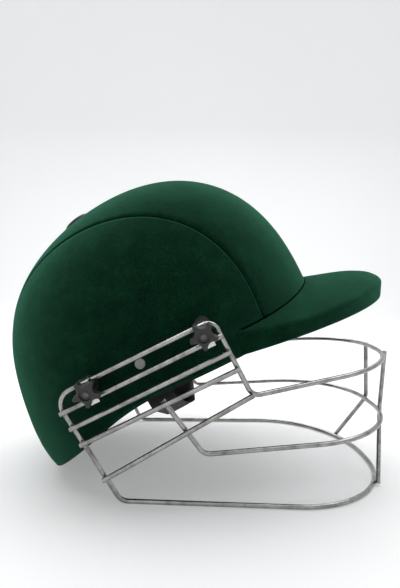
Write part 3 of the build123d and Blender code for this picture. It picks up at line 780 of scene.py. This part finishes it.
def weld_piece(piece):
    """Joins points in the same place and closes open ends."""
    work = bmesh.new()
    work.from_mesh(piece.data)
    bmesh.ops.remove_doubles(work, verts=work.verts, dist=piece_join_distance)
    bmesh.ops.holes_fill(work, edges=[edge for edge in work.edges if edge.is_boundary])
    bmesh.ops.recalc_face_normals(work, faces=work.faces)
    work.to_mesh(piece.data)
    work.free()
    piece.data.shade_smooth()


# Soft pieces inside: each starts from its solid; the pads are inflated as cloth, all are smoothed
pad_pressure = 4
pad_cloth_stiffness = 12
pad_cloth_quality = 4
pad_frames = 20
pad_smooth_rounds = 4
liner_smooth_rounds = 5
liner_voxel = 3.0
pads = (
    ("crown_cushion", "crown_pad", 4.0, 2.5),
    ("brow_cushion", "brow_pad", 4.0, 2.5),
    ("nape_cushion", "nape_pad", 4.0, 2.5),
    ("temple_cushion_left", "temple_pad_left", 4.0, 2.0),
    ("temple_cushion_right", "temple_pad_right", 4.0, 2.0),
)


def copy_solid(name, node):
    """A copy of a node's mesh as a piece, with its doubled points joined."""
    piece = bpy.data.objects.new(name, nodes[node].data.copy())
    bpy.context.scene.collection.objects.link(piece)
    work = bmesh.new()
    work.from_mesh(piece.data)
    bmesh.ops.remove_doubles(work, verts=work.verts, dist=solid_join_distance)
    work.to_mesh(piece.data)
    work.free()
    return piece


def apply_modifiers(piece):
    """Makes a piece's modifiers part of its mesh."""
    graph = bpy.context.evaluated_depsgraph_get()
    mesh = bpy.data.meshes.new_from_object(piece.evaluated_get(graph))
    piece.modifiers.clear()
    piece.data = mesh
    mesh.shade_smooth()


def remesh(piece, voxel):
    """Gives a piece even faces, voxel millimetres wide."""
    modifier = piece.modifiers.new("even_faces", "REMESH")
    modifier.mode = "VOXEL"
    modifier.voxel_size = voxel * mm
    apply_modifiers(piece)


def inflate(piece, pressure, cap):
    """Swells a piece as cloth under pressure; no point moves further than the cap."""
    rest = [vertex.co.copy() for vertex in piece.data.vertices]
    cloth = piece.modifiers.new("cloth", "CLOTH")
    cloth.settings.use_pressure = True
    cloth.settings.uniform_pressure_force = pressure
    cloth.settings.effector_weights.gravity = 0
    cloth.settings.quality = pad_cloth_quality
    cloth.settings.tension_stiffness = pad_cloth_stiffness
    cloth.settings.compression_stiffness = pad_cloth_stiffness
    cloth.collision_settings.use_collision = False
    scene = bpy.context.scene
    for step in range(1, pad_frames + 1):
        scene.frame_set(step)
    graph = bpy.context.evaluated_depsgraph_get()
    swollen = bpy.data.meshes.new_from_object(piece.evaluated_get(graph))
    for start, vertex in zip(rest, swollen.vertices):
        move = vertex.co - start
        if move.length > cap * mm:
            vertex.co = start + move.normalized() * cap * mm
    piece.modifiers.clear()
    piece.data = swollen
    scene.frame_set(1)


def soften(piece, rounds):
    """Smooths a piece and divides its faces once."""
    smooth = piece.modifiers.new("smooth", "SMOOTH")
    smooth.factor = 0.5
    smooth.iterations = rounds
    divide = piece.modifiers.new("divide", "SUBSURF")
    divide.levels = divide.render_levels = 1
    apply_modifiers(piece)


def pad_piece(name, node, voxel, cap):
    """A pad swollen from its solid, with faces of voxel millimetres, by the cap at most."""
    piece = copy_solid(name, node)
    remesh(piece, voxel)
    inflate(piece, pad_pressure, cap)
    soften(piece, pad_smooth_rounds)
    return piece


# Floor and backdrop: one plain sheet that curves up behind, whiter where the camera sees it
floor_near = 0.9
floor_far = 2.0
near_white = 0.28
far_white = 0.54
floor_start_y = -2.0
bend_start_y = 1.2
bend_radius = 0.8
bend_steps = 16
backdrop_height = 4.0
floor_half_width = 4.0
room_light = 0.28
room_seen = 0.86


def viewing_rays(tree):
    """A value of 1 for what the camera sees directly, in metal or through glass."""
    rays = tree.nodes.new("ShaderNodeLightPath")
    seen = rays.outputs["Is Camera Ray"]
    for kind in ("Is Glossy Ray", "Is Transmission Ray"):
        either = tree.nodes.new("ShaderNodeMath")
        either.operation = "MAXIMUM"
        tree.links.new(seen, either.inputs[0])
        tree.links.new(rays.outputs[kind], either.inputs[1])
        seen = either.outputs["Value"]
    return seen


def make_stage():
    """The floor, with a glow that only the camera's view gets."""
    floor_material, tree, shader = new_material("plain_floor")
    clouds = noise(tree, 1.5, 2, 0.5)
    colour = ramp(tree, clouds, [(0.3, (0.68, 0.685, 0.69)), (0.7, (0.71, 0.715, 0.72))])
    tree.links.new(colour, shader.inputs["Base Color"])
    shader.inputs["Roughness"].default_value = 0.7
    glow = tree.nodes.new("ShaderNodeEmission")
    glow.inputs["Color"].default_value = (0.98, 1.0, 1.0, 1)
    place = tree.nodes.new("ShaderNodeTexCoord")
    split = tree.nodes.new("ShaderNodeSeparateXYZ")
    depth = tree.nodes.new("ShaderNodeMapRange")
    depth.inputs["From Min"].default_value = floor_near
    depth.inputs["From Max"].default_value = floor_far
    depth.inputs["To Min"].default_value = near_white
    depth.inputs["To Max"].default_value = far_white
    tree.links.new(place.outputs["Object"], split.inputs["Vector"])
    tree.links.new(split.outputs["Y"], depth.inputs["Value"])
    seen = tree.nodes.new("ShaderNodeMath")
    seen.operation = "MULTIPLY"
    tree.links.new(viewing_rays(tree), seen.inputs[0])
    tree.links.new(depth.outputs["Result"], seen.inputs[1])
    tree.links.new(seen.outputs["Value"], glow.inputs["Strength"])
    both = tree.nodes.new("ShaderNodeAddShader")
    tree.links.new(shader.outputs["BSDF"], both.inputs[0])
    tree.links.new(glow.outputs["Emission"], both.inputs[1])
    tree.links.new(both.outputs["Shader"], tree.nodes["Material Output"].inputs["Surface"])
    points = []
    faces = []
    profile = [(floor_start_y, 0.0), (bend_start_y, 0.0)]
    for step in range(1, bend_steps + 1):
        turn = pi / 2 * step / bend_steps
        profile.append((bend_start_y + bend_radius * sin(turn), bend_radius * (1 - cos(turn))))
    profile.append((bend_start_y + bend_radius, backdrop_height))
    for y, z in profile:
        for x in (-floor_half_width, floor_half_width):
            points.append(Vector((x, y, z)) / mm)
    for i in range(len(profile) - 1):
        faces.append((2 * i, 2 * i + 1, 2 * i + 3, 2 * i + 2))
    floor = mesh_object("floor", points, faces)
    floor.data.materials.append(floor_material)


def area_light(name, place, aim, size, power):
    """A soft flat lamp that points at the aim, in metres and watts."""
    data = bpy.data.lights.new(name, "AREA")
    data.shape = "RECTANGLE"
    data.size, data.size_y = size
    data.energy = power
    light = bpy.data.objects.new(name, data)
    direction = Vector(aim) - Vector(place)
    light.rotation_euler = direction.to_track_quat("-Z", "Y").to_euler()
    light.location = place
    light.visible_camera = False
    bpy.context.scene.collection.objects.link(light)


def make_light():
    """Plain studio light: a pale room, a wide softbox above and a weak fill in front."""
    world = bpy.data.worlds.new("soft_room")
    world.use_nodes = True
    background = world.node_tree.nodes["Background"]
    background.inputs["Color"].default_value = (0.97, 0.98, 1.0, 1)
    level = world.node_tree.nodes.new("ShaderNodeMapRange")
    level.inputs["To Min"].default_value = room_light
    level.inputs["To Max"].default_value = room_seen
    world.node_tree.links.new(viewing_rays(world.node_tree), level.inputs["Value"])
    world.node_tree.links.new(level.outputs["Result"], background.inputs["Strength"])
    bpy.context.scene.world = world
    area_light("top_softbox", (-0.05, 0.36, 1.35), (0, 0, 0.1), (2.2, 1.6), 32)
    area_light("front_fill", (-0.9, -1.3, 0.9), (0, 0, 0.1), (1.0, 1.0), 2)


bpy.context.scene.view_settings.view_transform = "Standard"
make_camera()
make_stage()
make_light()

felt = felt_material()
binding_cloth = cloth_material("binding_cloth", (0.010, 0.012, 0.011), 1800)
lining_cloth = cloth_material("lining_cloth", (0.018, 0.018, 0.020), 1400)
# painted shade: a near-black cloth without sheen for the tubes in the seams and in the peak crease
painted_shade_cloth = cloth_material("painted_shade_cloth", (0.0006, 0.003, 0.0015), 2500, 0.95, 0.0)
webbing = cloth_material("strap_webbing", (0.010, 0.010, 0.011), 1500, 0.8)
foam = cloth_material("liner_foam", (0.035, 0.035, 0.038), 700, 0.95)
wire = wire_material()
rivet_metal = metal_material("rivet_metal", (0.20, 0.20, 0.20), (0.30, 0.30, 0.30), 0.55)
screw_metal = metal_material("screw_steel", (0.06, 0.06, 0.06), (0.14, 0.14, 0.14), 0.45)
clip_metal = metal_material("clip_steel", (0.45, 0.45, 0.45), (0.62, 0.62, 0.62), 0.25)
shell_plastic = plastic_material("shell_plastic", (0.02, 0.021, 0.023), 0.45, 600, 0.0001)
knob_plastic = plastic_material("knob_plastic", (0.012, 0.012, 0.012), 0.4, 1500, 0.00006)
button_plastic = plastic_material("button_plastic", (0.02, 0.024, 0.023), 0.5, 1200, 0.0001)

node_materials = {
    "felt": felt, "binding": binding_cloth, "shell": shell_plastic, "foam": foam,
    "pad": lining_cloth, "wire": wire, "knob": knob_plastic, "clip": clip_metal,
    "rivet": rivet_metal, "stud": rivet_metal, "screw": screw_metal, "webbing": webbing,
    "slider": knob_plastic,
}
for subpart in frame["record"]["subparts"]:
    node = nodes[subpart["node"]]
    node.data.materials.clear()
    node.data.materials.append(node_materials[subpart["material_slot"]])
nodes["crown_button"].data.materials[0] = button_plastic

crown_felt = crown_panel_piece()
finish_piece(crown_felt, felt, "helmet", "felt", "crown_panel")
right_felt = side_panel_piece(-1, "side_felt_right")
finish_piece(right_felt, felt, "helmet", "felt", "side_panel_right")
left_felt = side_panel_piece(1, "side_felt_left")
finish_piece(left_felt, felt, "helmet", "felt", "side_panel_left")
peak_cover = peak_piece()
finish_piece(peak_cover, felt, "helmet", "felt", "peak_upper_cloth", "peak_under_cloth")

# Painted shade: dark tubes in the seams and in the crease between peak and crown
for side, side_name in ((-1, "right"), (1, "left")):
    seam_shade_tube = shade_tube_piece("seam_shade_" + side_name, seam_points(side), seam_shade_radius)
    finish_piece(seam_shade_tube, painted_shade_cloth, "helmet", "felt")
crease_shade_line = [peak_row(spot, inward)[0] for spot, inward in peak_edge_spots()]
crease_shade_tube = shade_tube_piece("peak_crease_shade", crease_shade_line, crease_shade_radius)
finish_piece(crease_shade_tube, painted_shade_cloth, "helmet", "felt")
finish_piece(binding_piece(), binding_cloth, "helmet", "binding", "rim_binding")
whole_strap = strap_line()
right_line = [place for place in whole_strap if place.x < strap_joint]
left_line = [place for place in whole_strap if place.x > strap_joint]
right_band = band_piece("webbing_right", right_line)
left_band = band_piece("webbing_left", left_line)
finish_piece(right_band, webbing, "chin_strap", "webbing", "strap_right")
finish_piece(left_band, webbing, "chin_strap", "webbing", "strap_left")

for pad_name, pad_node, pad_voxel, pad_cap in pads:
    cushion = pad_piece(pad_name, pad_node, pad_voxel, pad_cap)
    finish_piece(cushion, lining_cloth, "helmet", "pad", pad_node)
liner = copy_solid("liner_foam_piece", "foam_liner")
remesh(liner, liner_voxel)
soften(liner, liner_smooth_rounds)
finish_piece(liner, foam, "helmet", "foam", "foam_liner")
chin_cushion = pad_piece("chin_cushion", "chin_pad", 2.0, 1.2)
finish_piece(chin_cushion, lining_cloth, "chin_strap", "pad", "chin_pad")
